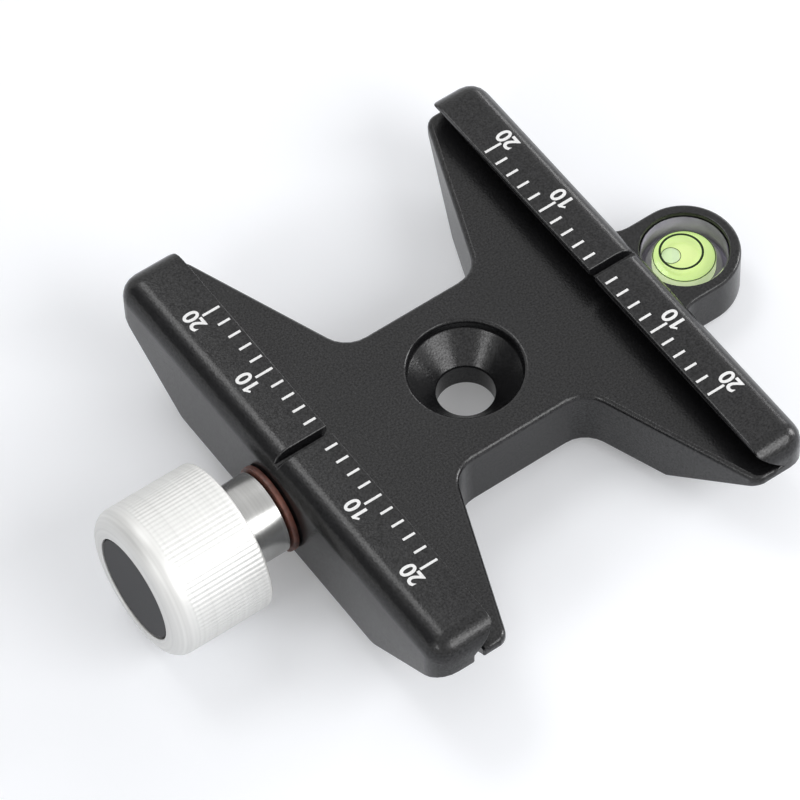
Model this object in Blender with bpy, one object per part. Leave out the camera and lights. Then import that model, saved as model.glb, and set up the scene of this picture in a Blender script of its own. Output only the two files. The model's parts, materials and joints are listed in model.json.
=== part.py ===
"""Dovetail quick release clamp: a milled base with one fixed and one screw-driven jaw.

Run it with blender --background --python part.py, or from Blender's text editor.
Units are metres and +Z is up. The origin is the centre of the mounting hole on the underside.
X runs across the channel, from the knob (-X) to the spirit level (+X), and Y runs along the channel.
Everything on the clamp screw's line is placed by its station: the distance from the mounting
hole out towards the knob.
"""

import math

import bmesh
import bpy
from mathutils import Matrix

MM = 0.001

# Channel and jaws
CLAMP_LENGTH = 60.1 * MM
JAW_HEIGHT = 12.4 * MM
CHANNEL_DEPTH = 3.6 * MM
CLOSED_OPENING = 33.4 * MM  # between the two lips, at the top
LIP_LAND = 0.75 * MM  # upright face at the top of a lip
FLANK_ANGLE = math.radians(45)
FIXED_JAW_WIDTH = 6.4 * MM
MOVING_JAW_WIDTH = 7.5 * MM
JAW_ROUND = 2.6 * MM  # outer edges and corners of both jaws
INDEX_NOTCH_WIDTH = 1.1 * MM
INDEX_NOTCH_DEPTH = 1.15 * MM

# Travel of the moving jaw from its rest position
CLOSING_TRAVEL = 0.8 * MM
CLOSED_GAP = 0.35 * MM  # left between base and moving jaw when closed

# Milled base
WAIST_HALF_WIDTH = 9.9 * MM
WAIST_CORNER_X = 8.5 * MM
WAIST_FILLET = 3.5 * MM
ARM_TIP_INSET = 0.5 * MM  # from a closed lip back to the inner side of an arm's tip
ARM_TIP_ROUND = 1.8 * MM
BASE_CORNER_ROUND = 1.0 * MM
EDGE_CHAMFER = 0.4 * MM
UNDERSIDE_CHAMFER = 1.1 * MM  # along the lower edges of the gaps between the arms
UNDERSIDE_FLAT = 35.8 * MM  # length of the level part of the underside
TIP_THICKNESS = 1.1 * MM  # deck left at the ends of the arms
KNEE_ROUND = 2.0 * MM

# Mounting hole, open right through the base
COUNTERSINK_RADIUS = 6.28 * MM
COUNTERSINK_CHAMFER = 0.29 * MM
COUNTERSINK_WALL = 1.15 * MM  # depth from the deck to the cone
HOLE_RADIUS = 3.2 * MM
HOLE_FLARE = 1.6 * MM  # chamfer at the hole's lower end

# Clearances
SEAT_GAP = 0.2 * MM  # between faces that bear on each other
RUNNING_GAP = 0.2 * MM  # around a part that turns or slides
PRESS_GAP = 0.1 * MM  # around a part that is pressed in

# Clamp screw and its retaining ring
SCREW_RADIUS = 2.5 * MM
SCREW_CHAMFER = 0.4 * MM
SCREW_HEAD_RADIUS = 4.25 * MM
SCREW_HEAD_HEIGHT = 5.0 * MM
HEX_SOCKET_FLATS = 4.0 * MM
HEX_SOCKET_DEPTH = 2.5 * MM
SCREW_BORE_WALL = 1.1 * MM  # between the blind end of the screw bore and the countersink
SCREW_BORE_RUNOUT = 0.8 * MM
RING_OUTER_RADIUS = 3.5 * MM
RING_THICKNESS = 0.6 * MM
RING_GROOVE_DEPTH = 0.5 * MM
RING_OPENING = 2.6 * MM
RING_RECESS_DEPTH = 1.5 * MM

# Knob and washer
KNOB_RADIUS = 8.72 * MM
KNOB_LENGTH = 12.0 * MM
KNOB_FRONT_ROUND = 2.0 * MM
KNOB_REAR_ROUND = 0.5 * MM
KNOB_PLAIN_BAND = 0.5 * MM  # smooth ring between the front rounding and the knurl
KNURL_RIDGES = 96
KNURL_DEPTH = 0.25 * MM
KNURL_RUNOUT = 0.25 * MM
KNOB_FACE_RIM = 0.65 * MM  # between the front rounding and the cap's recess
NECK_RADIUS = 4.75 * MM
NECK_LENGTH = 4.85 * MM
NECK_FILLET = 0.6 * MM
CAP_THICKNESS = 0.8 * MM
CAP_INSET = 0.15 * MM  # how far the cap lies below the knob's front face
CAP_CHAMFER = 0.15 * MM
WASHER_THICKNESS = 0.65 * MM
WASHER_LIP = 0.35 * MM  # how far the washer stands out round the neck

# Guide pins and jaw springs
PIN_RADIUS = 1.5 * MM
PIN_INSET = 0.9 * MM  # from the waist's side in to the pin's axis
PIN_SOCKET_FLOOR = 1.0 * MM  # left between a pin's socket and the jaw's outer face
PIN_BORE_WALL = 0.8 * MM  # from the waist's corner to the blind end of a pin bore
PIN_CHAMFER = 0.3 * MM
SPRING_RADIUS = 2.1 * MM  # to the middle of the wire
SPRING_WIRE_RADIUS = 0.2 * MM
SPRING_TURNS = 5
SPRING_POCKET_DEPTH = 5.0 * MM

# Spirit level and its tab
VIAL_RADIUS = 4.84 * MM
VIAL_INSET = 0.5 * MM  # below the top of the tab
VIAL_LENS_SHARE = 0.18  # of the vial's height, left solid over the liquid
VIAL_DOME_SHARE = 0.08  # of the vial's height, by which the chamber's ceiling is domed
CHAMBER_RADIUS = 3.5 * MM
PLUG_RADIUS = 4.1 * MM
PLUG_SHARE = 0.18  # of the vial's height
BUBBLE_RADIUS = 1.2 * MM
BUBBLE_SHARE = 0.06  # of the vial's height, by which the bubble dips into the liquid
BUBBLE_SHIFT = (-1.2 * MM, 0.8 * MM)
TAB_WALL = 1.25 * MM
TAB_RISE = 0.6 * MM  # from the underside up to the tab's lower face
TAB_FLOOR = 1.0 * MM
TAB_REACH = 6.2 * MM  # from the fixed jaw's outer face to the vial's axis
TAB_DROP = 2.0 * MM  # from the deck down to the top of the tab
TAB_ROOT_FILLET = 3.2 * MM
TAB_CHAMFER = 0.3 * MM

# Smoothness
FINE_STEPS = 48
COARSE_STEPS = 24
ARC_STEP = math.radians(15)
MARGIN = 2.0 * MM  # how far a cutter reaches past what it cuts
TINY = 0.05 * MM  # keeps a rounded cut from ending exactly on a face

# Levels
half_length = CLAMP_LENGTH / 2
deck_z = JAW_HEIGHT - CHANNEL_DEPTH
axis_z = deck_z / 2
undercut = (CHANNEL_DEPTH - LIP_LAND) * math.tan(FLANK_ANGLE)

# Places across the clamp
lip_x = CLOSED_OPENING / 2
fixed_outer_x = lip_x + FIXED_JAW_WIDTH
arm_tip_x = lip_x - ARM_TIP_INSET
level_x = fixed_outer_x + TAB_REACH
pin_y = WAIST_HALF_WIDTH - PIN_INSET

# Stations from the mounting hole out to the knob, with the jaw at rest
moving_lip_s = lip_x + CLOSING_TRAVEL
jaw_wall_s = moving_lip_s + undercut
jaw_outer_s = moving_lip_s + MOVING_JAW_WIDTH
base_edge_s = jaw_wall_s - CLOSING_TRAVEL - CLOSED_GAP
washer_s = jaw_outer_s + SEAT_GAP
neck_s = washer_s + WASHER_THICKNESS + SEAT_GAP
grip_s = neck_s + NECK_LENGTH
knob_face_s = grip_s + KNOB_LENGTH
cap_face_s = knob_face_s - CAP_INSET
cap_back_s = cap_face_s - CAP_THICKNESS
cap_seat_s = cap_back_s - SEAT_GAP
screw_top_s = cap_seat_s - SEAT_GAP
head_seat_s = screw_top_s - SCREW_HEAD_HEIGHT
screw_bore_end_s = COUNTERSINK_RADIUS + SCREW_BORE_WALL
screw_end_s = screw_bore_end_s + SCREW_BORE_RUNOUT + CLOSING_TRAVEL
ring_recess_s = jaw_wall_s + RING_RECESS_DEPTH
ring_outer_s = ring_recess_s - SEAT_GAP
ring_inner_s = ring_outer_s - RING_THICKNESS
pin_socket_end_s = jaw_outer_s - PIN_SOCKET_FLOOR
pin_outer_s = pin_socket_end_s - SEAT_GAP
pin_bore_end_s = WAIST_CORNER_X + PIN_BORE_WALL
pin_inner_s = pin_bore_end_s + SEAT_GAP + CLOSING_TRAVEL
pocket_floor_s = base_edge_s - SPRING_POCKET_DEPTH

# Radii and levels that follow from the sizes above
screw_bore_radius = SCREW_RADIUS + RUNNING_GAP
ring_groove_radius = SCREW_RADIUS - RING_GROOVE_DEPTH
cap_recess_radius = KNOB_RADIUS - KNOB_FRONT_ROUND - KNOB_FACE_RIM
spring_pocket_radius = SPRING_RADIUS + SPRING_WIRE_RADIUS + RUNNING_GAP
tab_bore_radius = VIAL_RADIUS + PRESS_GAP
tab_radius = tab_bore_radius + TAB_WALL
tab_top_z = deck_z - TAB_DROP
vial_top_z = tab_top_z - VIAL_INSET
tab_floor_z = TAB_RISE + TAB_FLOOR
vial_base_z = tab_floor_z + SEAT_GAP
vial_height = vial_top_z - vial_base_z
dome_rise = vial_height * VIAL_DOME_SHARE
chamber_top_z = vial_top_z - vial_height * VIAL_LENS_SHARE
plug_top_z = vial_base_z + vial_height * PLUG_SHARE
chamber_base_z = plug_top_z + SEAT_GAP
hole_cone_z = deck_z - COUNTERSINK_WALL


def clear_scene():
    for obj in list(bpy.data.objects):
        bpy.data.objects.remove(obj, do_unlink=True)


def new_collection(name):
    collection = bpy.data.collections.new(name)
    bpy.context.scene.collection.children.link(collection)
    return collection


def new_material(name, color, roughness, metallic=0.0, transmission=0.0):
    material = bpy.data.materials.new(name)
    material.use_nodes = True
    shader = material.node_tree.nodes["Principled BSDF"]
    shader.inputs["Base Color"].default_value = (*color, 1.0)
    shader.inputs["Roughness"].default_value = roughness
    shader.inputs["Metallic"].default_value = metallic
    shader.inputs["Transmission Weight"].default_value = transmission
    return material


def new_empty(name, location, rotation=(0, 0, 0), parent=None):
    empty = bpy.data.objects.new(name, None)
    empty.empty_display_size = MARGIN
    empty.location = location
    empty.rotation_euler = rotation
    empty.parent = parent
    part_collection.objects.link(empty)
    return empty


def new_object(name, mesh, parent=None, material=None):
    """A part, or a cutter when it has no material: cutters stay out of the render."""
    obj = bpy.data.objects.new(name, mesh)
    obj.parent = parent
    if material:
        mesh.materials.append(material)
        part_collection.objects.link(obj)
    else:
        obj.hide_render = True
        obj.display_type = "WIRE"
        cutter_collection.objects.link(obj)
    return obj


def smooth(mesh, angle=math.radians(35)):
    mesh.shade_smooth()
    mesh.set_sharp_from_angle(angle=angle)


def boolean(obj, other, operation="DIFFERENCE"):
    modifier = obj.modifiers.new(other.name, "BOOLEAN")
    modifier.object = other
    modifier.operation = operation


def arc(centre, radius, start, end):
    """Points on an arc about a centre, from one angle to another, both ends included."""
    steps = max(1, math.ceil(abs(end - start) / ARC_STEP - 1e-6))
    angles = [start + (end - start) * i / steps for i in range(steps + 1)]
    return [(centre[0] + radius * math.cos(a), centre[1] + radius * math.sin(a)) for a in angles]


def rounded(corners):
    """An outline through (x, y, radius) corners, each one turned into an arc of its radius."""
    points = []
    for i, (x, y, radius) in enumerate(corners):
        if not radius:
            points.append((x, y))
            continue
        before = math.atan2(corners[i - 1][1] - y, corners[i - 1][0] - x)
        after_x, after_y, _ = corners[(i + 1) % len(corners)]
        after = math.atan2(after_y - y, after_x - x)
        turn = (after - before + math.pi) % (2 * math.pi) - math.pi
        middle = before + turn / 2
        reach = radius / math.sin(abs(turn) / 2)
        centre = (x + reach * math.cos(middle), y + reach * math.sin(middle))
        side = math.copysign(math.pi / 2, turn)
        end = after + side
        start = end + math.copysign(math.pi, turn) - turn
        points += arc(centre, radius, start, end)
    return points


def outline_mesh(name, points, thickness, bevel=0.0):
    """A flat outline given a thickness as a filled 2D curve, then made a closed mesh."""
    curve = bpy.data.curves.new(name, "CURVE")
    curve.dimensions = "2D"
    curve.fill_mode = "BOTH"
    curve.extrude = thickness / 2 - bevel
    curve.bevel_depth = bevel
    curve.bevel_resolution = 0
    curve.offset = -bevel if thickness > 2 * bevel else 0
    spline = curve.splines.new("POLY")
    spline.points.add(len(points) - 1)
    for point, (x, y) in zip(spline.points, points):
        point.co = (x, y, 0, 1)
    spline.use_cyclic_u = True
    guide = bpy.data.objects.new(name, curve)
    cutter_collection.objects.link(guide)
    graph = bpy.context.evaluated_depsgraph_get()
    mesh = bpy.data.meshes.new_from_object(guide.evaluated_get(graph))
    bpy.data.objects.remove(guide)
    bpy.data.curves.remove(curve)
    bm = bmesh.new()
    bm.from_mesh(mesh)
    bmesh.ops.remove_doubles(bm, verts=bm.verts, dist=0.001 * MM)
    bmesh.ops.recalc_face_normals(bm, faces=bm.faces)
    bm.to_mesh(mesh)
    bm.free()
    return mesh


def box_mesh(name, low, high):
    bm = bmesh.new()
    bmesh.ops.create_cube(bm, size=1)
    for vert in bm.verts:
        for axis in range(3):
            vert.co[axis] = high[axis] if vert.co[axis] > 0 else low[axis]
    mesh = bpy.data.meshes.new(name)
    bm.to_mesh(mesh)
    bm.free()
    return mesh


def rod_mesh(name, radius, start, end, steps=COARSE_STEPS):
    """A plain cylinder along its own Z, between two heights."""
    bm = bmesh.new()
    bmesh.ops.create_cone(
        bm,
        cap_ends=True,
        segments=steps,
        radius1=radius,
        radius2=radius,
        depth=end - start,
        matrix=Matrix.Translation((0, 0, (start + end) / 2)),
    )
    mesh = bpy.data.meshes.new(name)
    bm.to_mesh(mesh)
    bm.free()
    smooth(mesh)
    return mesh


def spun(profile, steps, ring=False):
    """The (radius, height) line of a turned part spun round Z, closed on itself for a ring."""
    bm = bmesh.new()
    verts = [bm.verts.new((radius, 0, height)) for radius, height in profile]
    ends = verts[1:] + verts[:1] if ring else verts[1:]
    edges = [bm.edges.new(pair) for pair in zip(verts, ends)]
    bmesh.ops.spin(
        bm,
        geom=verts + edges,
        cent=(0, 0, 0),
        axis=(0, 0, 1),
        angle=2 * math.pi,
        steps=steps,
        use_merge=True,
    )
    bmesh.ops.remove_doubles(bm, verts=bm.verts, dist=0.001 * MM)
    bmesh.ops.recalc_face_normals(bm, faces=bm.faces)
    return bm


def turned(name, profile, parent, material=None, steps=COARSE_STEPS, ring=False):
    bm = spun(profile, steps, ring)
    mesh = bpy.data.meshes.new(name)
    bm.to_mesh(mesh)
    bm.free()
    smooth(mesh)
    return new_object(name, mesh, parent, material)


def round_edges(mesh, radius, picks, segments=5):
    """Rounds each edge whose two ends both pass one of the tests in picks."""
    bm = bmesh.new()
    bm.from_mesh(mesh)
    edges = [e for e in bm.edges if any(pick(e.verts[0].co) and pick(e.verts[1].co) for pick in picks)]
    bmesh.ops.bevel(
        bm,
        geom=edges,
        offset=radius,
        offset_type="OFFSET",
        segments=segments,
        profile=0.5,
        affect="EDGES",
        clamp_overlap=True,
        material=-1,
    )
    bm.to_mesh(mesh)
    bm.free()
    smooth(mesh)


def near(value, target):
    return abs(value - target) < TINY / 2


def jaw_block(name, inner_x, outer_x, low_z):
    """The stock for a jaw: rounded along its outer top edge, over its ends and at its outer corners."""
    low = (min(inner_x, outer_x), -half_length, low_z)
    high = (max(inner_x, outer_x), half_length, JAW_HEIGHT)
    mesh = box_mesh(name, low, high)
    picks = [
        lambda v: near(v.z, JAW_HEIGHT) and near(v.x, outer_x),
        lambda v: near(v.z, JAW_HEIGHT) and near(v.y, half_length),
        lambda v: near(v.z, JAW_HEIGHT) and near(v.y, -half_length),
        lambda v: near(v.x, outer_x) and near(v.y, half_length),
        lambda v: near(v.x, outer_x) and near(v.y, -half_length),
    ]
    round_edges(mesh, JAW_ROUND, picks)
    return mesh


def across(obj):
    """Turns an outline drawn in (x, z) so that its thickness runs along the channel."""
    obj.rotation_euler = (math.pi / 2, 0, 0)
    return obj


def lengthwise(obj):
    """Turns an outline drawn in (y, z) so that its thickness runs across the clamp."""
    obj.rotation_euler = (math.pi / 2, 0, math.pi / 2)
    return obj


def underside_cutter(name, parent=None):
    """Takes off everything below the underside, which rises from a level middle to both ends."""
    flat = UNDERSIDE_FLAT / 2
    rise = (deck_z - TIP_THICKNESS) / (half_length - flat)
    far = half_length + MARGIN
    far_z = rise * (far - flat)
    corners = [
        (-far, -4 * MARGIN, 0),
        (far, -4 * MARGIN, 0),
        (far, far_z, 0),
        (flat, 0, KNEE_ROUND),
        (-flat, 0, KNEE_ROUND),
        (-far, far_z, 0),
    ]
    return lengthwise(new_object(name, outline_mesh(name, rounded(corners), 4 * jaw_outer_s), parent))


def notch_cutter(name, parent=None):
    """The index mark milled across the top of a jaw, narrower at its floor."""
    half = INDEX_NOTCH_WIDTH / 2
    floor = JAW_HEIGHT - INDEX_NOTCH_DEPTH
    top = JAW_HEIGHT + INDEX_NOTCH_DEPTH
    points = [(-half / 2, floor), (half / 2, floor), (half * 1.5, top), (-half * 1.5, top)]
    return lengthwise(new_object(name, outline_mesh(name, points, 4 * jaw_outer_s), parent))


def side_gap_outline(side):
    """The open space between two arms, from the waist out past the ends."""
    slope = (arm_tip_x - WAIST_CORNER_X) / (half_length - WAIST_HALF_WIDTH)
    tip_y = half_length + TINY
    tip_x = arm_tip_x + slope * TINY
    out_x = tip_x + 1.2 * ARM_TIP_ROUND
    out_y = half_length + MARGIN
    right = [
        (WAIST_CORNER_X, WAIST_HALF_WIDTH, WAIST_FILLET),
        (tip_x, tip_y, ARM_TIP_ROUND),
        (out_x, tip_y, 0),
        (out_x, out_y, 0),
    ]
    left = [(-x, y, radius) for x, y, radius in reversed(right)]
    return [(x, side * y) for x, y in rounded(right + left)]


def build_body(root, material):
    """The base, milled from one bar with the fixed jaw and the level's tab."""
    stock = jaw_block("base_body", -base_edge_s, fixed_outer_x, -MARGIN)
    picks = [
        lambda v: near(v.x, -base_edge_s) and near(v.y, half_length),
        lambda v: near(v.x, -base_edge_s) and near(v.y, -half_length),
    ]
    round_edges(stock, BASE_CORNER_ROUND, picks, segments=3)
    body = new_object("base_body", stock, root, material)

    channel = [
        (-base_edge_s - MARGIN, deck_z),
        (lip_x + undercut, deck_z),
        (lip_x, JAW_HEIGHT - LIP_LAND),
        (lip_x, JAW_HEIGHT + MARGIN),
        (-base_edge_s - MARGIN, JAW_HEIGHT + MARGIN),
    ]
    channel_mesh = outline_mesh("channel_cut", channel, CLAMP_LENGTH + 2 * MARGIN)
    boolean(body, across(new_object("channel_cut", channel_mesh, root)))

    for label, side in (("rear", 1), ("front", -1)):
        outline = side_gap_outline(side)
        height = deck_z + TINY * 8 + 2 * MARGIN
        gap = new_object(f"gap_cut_{label}", outline_mesh("gap_cut", outline, height), root)
        gap.location.z = height / 2 - 2 * MARGIN
        boolean(body, gap)
        for level, size in ((deck_z, EDGE_CHAMFER), (-TINY, UNDERSIDE_CHAMFER + TINY)):
            flare = outline_mesh("flare_cut", outline, 2 * size, size)
            cutter = new_object(f"flare_cut_{label}", flare, root)
            cutter.location.z = level
            boolean(body, cutter)

    boolean(body, underside_cutter("body_underside_cut", root))
    boolean(body, notch_cutter("fixed_notch_cut", root))
    add_level_tab(body, root)

    hole = [
        (0, deck_z + MARGIN),
        (COUNTERSINK_RADIUS + COUNTERSINK_CHAMFER + MARGIN, deck_z + MARGIN),
        (COUNTERSINK_RADIUS, deck_z - COUNTERSINK_CHAMFER),
        (COUNTERSINK_RADIUS, hole_cone_z),
        (HOLE_RADIUS, hole_cone_z - (COUNTERSINK_RADIUS - HOLE_RADIUS)),
        (HOLE_RADIUS, HOLE_FLARE),
        (HOLE_RADIUS + HOLE_FLARE + MARGIN, -MARGIN),
        (0, -MARGIN),
    ]
    boolean(body, turned("mounting_hole_cut", hole, root, steps=FINE_STEPS))

    screw_axis = new_empty("base_screw_axis", (0, 0, axis_z), (0, -math.pi / 2, 0), root)
    bore = rod_mesh("screw_bore_cut", screw_bore_radius, screw_bore_end_s, base_edge_s + MARGIN)
    boolean(body, new_object("screw_bore_cut", bore, screw_axis))
    for label, side in (("rear", 1), ("front", -1)):
        pin_axis = new_empty(f"base_pin_axis_{label}", (0, side * pin_y, 0), parent=screw_axis)
        bore = rod_mesh("pin_bore_cut", PIN_RADIUS + RUNNING_GAP, pin_bore_end_s, base_edge_s + MARGIN)
        boolean(body, new_object(f"pin_bore_cut_{label}", bore, pin_axis))
        pocket = rod_mesh("spring_pocket_cut", spring_pocket_radius, pocket_floor_s, base_edge_s + MARGIN)
        boolean(body, new_object(f"spring_pocket_cut_{label}", pocket, pin_axis))
    return body


def add_level_tab(body, root):
    """The round-ended tab on the fixed jaw's outer face, bored from above for the vial."""
    root_x = fixed_outer_x - TINY
    flare_y = tab_radius + TAB_ROOT_FILLET + TINY
    upper = rounded([
        (root_x - MARGIN, flare_y, 0),
        (root_x, flare_y, 0),
        (root_x, tab_radius, TAB_ROOT_FILLET),
        (level_x, tab_radius, 0),
    ])
    nose = arc((level_x, 0), tab_radius, math.pi / 2, -math.pi / 2)
    lower = [(x, -y) for x, y in reversed(upper)]
    thickness = tab_top_z - TAB_RISE
    tab_mesh = outline_mesh("level_tab", upper[:-1] + nose + lower[1:], thickness, TAB_CHAMFER)
    tab = new_object("level_tab", tab_mesh, root)
    tab.location.z = (tab_top_z + TAB_RISE) / 2
    boolean(body, tab, "UNION")
    bore_mesh = rod_mesh("vial_bore_cut", tab_bore_radius, tab_floor_z, tab_top_z + TINY, FINE_STEPS)
    bore = new_object("vial_bore_cut", bore_mesh, root)
    bore.location.x = level_x
    boolean(body, bore)


def build_moving_jaw(carriage, material):
    stock = jaw_block("moving_jaw", -moving_lip_s, -jaw_outer_s, -MARGIN)
    jaw = new_object("moving_jaw", stock, carriage, material)
    far = half_length * 2 + 2 * MARGIN
    flank = [
        (-jaw_wall_s, -2 * MARGIN),
        (MARGIN - moving_lip_s, -2 * MARGIN),
        (MARGIN - moving_lip_s, JAW_HEIGHT - LIP_LAND),
        (-moving_lip_s, JAW_HEIGHT - LIP_LAND),
        (-jaw_wall_s, deck_z),
    ]
    boolean(jaw, across(new_object("flank_cut", outline_mesh("flank_cut", flank, far), carriage)))
    boolean(jaw, underside_cutter("jaw_underside_cut", carriage))
    boolean(jaw, notch_cutter("moving_notch_cut", carriage))

    jaw_axis = new_empty("jaw_screw_axis", (0, 0, axis_z), (0, -math.pi / 2, 0), carriage)
    bore = rod_mesh("jaw_bore_cut", screw_bore_radius, jaw_wall_s - MARGIN, jaw_outer_s + MARGIN)
    boolean(jaw, new_object("jaw_bore_cut", bore, jaw_axis))
    recess_radius = RING_OUTER_RADIUS + RUNNING_GAP
    recess = rod_mesh("ring_recess_cut", recess_radius, jaw_wall_s - MARGIN, ring_recess_s)
    boolean(jaw, new_object("ring_recess_cut", recess, jaw_axis))
    socket_radius = PIN_RADIUS + PRESS_GAP
    for label, side in (("rear", 1), ("front", -1)):
        socket_mesh = rod_mesh("pin_socket_cut", socket_radius, jaw_wall_s - MARGIN, pin_socket_end_s)
        socket = new_object(f"pin_socket_cut_{label}", socket_mesh, jaw_axis)
        socket.location.y = side * pin_y
        boolean(jaw, socket)
    return jaw


def build_guide_pins(jaw_axis, material):
    """Two ground pins pressed into the jaw, which keep it square to the base as it slides."""
    profile = [
        (0, pin_outer_s),
        (PIN_RADIUS - PIN_CHAMFER, pin_outer_s),
        (PIN_RADIUS, pin_outer_s - PIN_CHAMFER),
        (PIN_RADIUS, pin_inner_s + PIN_CHAMFER),
        (PIN_RADIUS - PIN_CHAMFER, pin_inner_s),
        (0, pin_inner_s),
    ]
    for label, side in (("rear", 1), ("front", -1)):
        pin = turned(f"guide_pin_{label}", profile, jaw_axis, material)
        pin.location.y = side * pin_y


def build_springs(root, material):
    """A compression spring round each guide pin, from the base's pocket to the jaw's inner wall."""
    start = pocket_floor_s + SEAT_GAP + SPRING_WIRE_RADIUS
    end = jaw_wall_s - SEAT_GAP - SPRING_WIRE_RADIUS
    points_per_turn = 10
    count = SPRING_TURNS * points_per_turn + 1
    for label, side in (("rear", 1), ("front", -1)):
        curve = bpy.data.curves.new(f"jaw_spring_{label}", "CURVE")
        curve.dimensions = "3D"
        curve.bevel_depth = SPRING_WIRE_RADIUS
        curve.bevel_resolution = 2
        curve.use_fill_caps = True
        curve.materials.append(material)
        spline = curve.splines.new("POLY")
        spline.points.add(count - 1)
        for i, point in enumerate(spline.points):
            angle = 2 * math.pi * i / points_per_turn
            height = start + (end - start) * i / (count - 1)
            point.co = (SPRING_RADIUS * math.cos(angle), SPRING_RADIUS * math.sin(angle), height, 1)
        spring = bpy.data.objects.new(f"jaw_spring_{label}", curve)
        spring.parent = root
        spring.location = (0, side * pin_y, axis_z)
        spring.rotation_euler = (0, -math.pi / 2, 0)
        part_collection.objects.link(spring)


def knurled_grip_mesh():
    """The knob's grip: a turned drum whose every second edge line is pushed in along the knurl."""
    knurl_top = knob_face_s - KNOB_FRONT_ROUND - KNOB_PLAIN_BAND
    centre = (KNOB_RADIUS - KNOB_FRONT_ROUND, knob_face_s - KNOB_FRONT_ROUND)
    front = [
        (centre[0] + KNOB_FRONT_ROUND * math.cos(a), centre[1] + KNOB_FRONT_ROUND * math.sin(a))
        for a in (math.radians(90), math.radians(60), math.radians(30), 0)
    ]
    profile = [(0, knob_face_s), *front]
    profile += [
        (KNOB_RADIUS, knurl_top),
        (KNOB_RADIUS, knurl_top - KNURL_RUNOUT),
        (KNOB_RADIUS, grip_s + KNOB_REAR_ROUND),
        (KNOB_RADIUS - KNOB_REAR_ROUND, grip_s),
        (0, grip_s),
    ]
    steps = 2 * KNURL_RIDGES
    bm = spun(profile, steps)
    for vert in bm.verts:
        line = round(math.atan2(vert.co.y, vert.co.x) / (2 * math.pi) * steps)
        knurled = grip_s + KNOB_REAR_ROUND / 2 < vert.co.z < knurl_top - KNURL_RUNOUT / 2
        if line % 2 and knurled:
            vert.co.xy *= (KNOB_RADIUS - KNURL_DEPTH) / KNOB_RADIUS
    mesh = bpy.data.meshes.new("knob")
    bm.to_mesh(mesh)
    bm.free()
    smooth(mesh, math.radians(20))
    return mesh


def build_knob(knob_axis, material):
    knob = new_object("knob", knurled_grip_mesh(), knob_axis, material)
    neck = [
        (0, grip_s + MARGIN),
        (NECK_RADIUS + NECK_FILLET, grip_s + MARGIN),
        (NECK_RADIUS + NECK_FILLET, grip_s - TINY),
        (NECK_RADIUS + NECK_FILLET * 0.3, grip_s - NECK_FILLET * 0.3),
        (NECK_RADIUS, grip_s - NECK_FILLET),
        (NECK_RADIUS, neck_s),
        (0, neck_s),
    ]
    boolean(knob, turned("knob_neck", neck, knob_axis, steps=FINE_STEPS), "UNION")
    cap_recess = rod_mesh("cap_recess_cut", cap_recess_radius, cap_seat_s, knob_face_s + MARGIN, FINE_STEPS)
    boolean(knob, new_object("cap_recess_cut", cap_recess, knob_axis))
    head_radius = SCREW_HEAD_RADIUS + PRESS_GAP
    head_recess = rod_mesh("head_recess_cut", head_radius, head_seat_s - SEAT_GAP, knob_face_s + MARGIN)
    boolean(knob, new_object("head_recess_cut", head_recess, knob_axis))
    shank_radius = SCREW_RADIUS + PRESS_GAP
    shank_bore = rod_mesh("shank_bore_cut", shank_radius, neck_s - MARGIN, knob_face_s + MARGIN)
    boolean(knob, new_object("shank_bore_cut", shank_bore, knob_axis))
    return knob


def build_knob_cap(knob_axis, material):
    radius = cap_recess_radius - PRESS_GAP
    profile = [
        (0, cap_face_s),
        (radius - CAP_CHAMFER, cap_face_s),
        (radius, cap_face_s - CAP_CHAMFER),
        (radius, cap_back_s),
        (0, cap_back_s),
    ]
    return turned("knob_cap", profile, knob_axis, material, FINE_STEPS)


def build_clamp_screw(knob_axis, material):
    """A socket head screw, grooved where the retaining ring holds it in the jaw."""
    groove_top = ring_outer_s + RUNNING_GAP / 2
    groove_base = ring_inner_s - RUNNING_GAP / 2
    profile = [
        (0, screw_top_s),
        (SCREW_HEAD_RADIUS - SCREW_CHAMFER, screw_top_s),
        (SCREW_HEAD_RADIUS, screw_top_s - SCREW_CHAMFER),
        (SCREW_HEAD_RADIUS, head_seat_s),
        (SCREW_RADIUS, head_seat_s),
        (SCREW_RADIUS, groove_top),
        (ring_groove_radius, groove_top),
        (ring_groove_radius, groove_base),
        (SCREW_RADIUS, groove_base),
        (SCREW_RADIUS, screw_end_s + SCREW_CHAMFER),
        (SCREW_RADIUS - SCREW_CHAMFER, screw_end_s),
        (0, screw_end_s),
    ]
    screw = turned("clamp_screw", profile, knob_axis, material)
    corner_radius = HEX_SOCKET_FLATS / 2 / math.cos(math.pi / 6)
    socket_floor_s = screw_top_s - HEX_SOCKET_DEPTH
    socket = rod_mesh("hex_socket_cut", corner_radius, socket_floor_s, screw_top_s + MARGIN, steps=6)
    boolean(screw, new_object("hex_socket_cut", socket, knob_axis))
    return screw


def build_retaining_ring(knob_axis, material):
    """An open ring sprung into the screw's groove, inside the recess in the jaw's inner wall."""
    inner = ring_groove_radius + PRESS_GAP
    profile = [
        (RING_OUTER_RADIUS, ring_outer_s),
        (RING_OUTER_RADIUS, ring_inner_s),
        (inner, ring_inner_s),
        (inner, ring_outer_s),
    ]
    ring = turned("screw_retaining_ring", profile, knob_axis, material, ring=True)
    half = RING_OPENING / 2
    low = (0, -half, ring_inner_s - MARGIN)
    high = (RING_OUTER_RADIUS + MARGIN, half, ring_outer_s + MARGIN)
    boolean(ring, new_object("ring_opening_cut", box_mesh("ring_opening_cut", low, high), knob_axis))
    return ring


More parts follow.
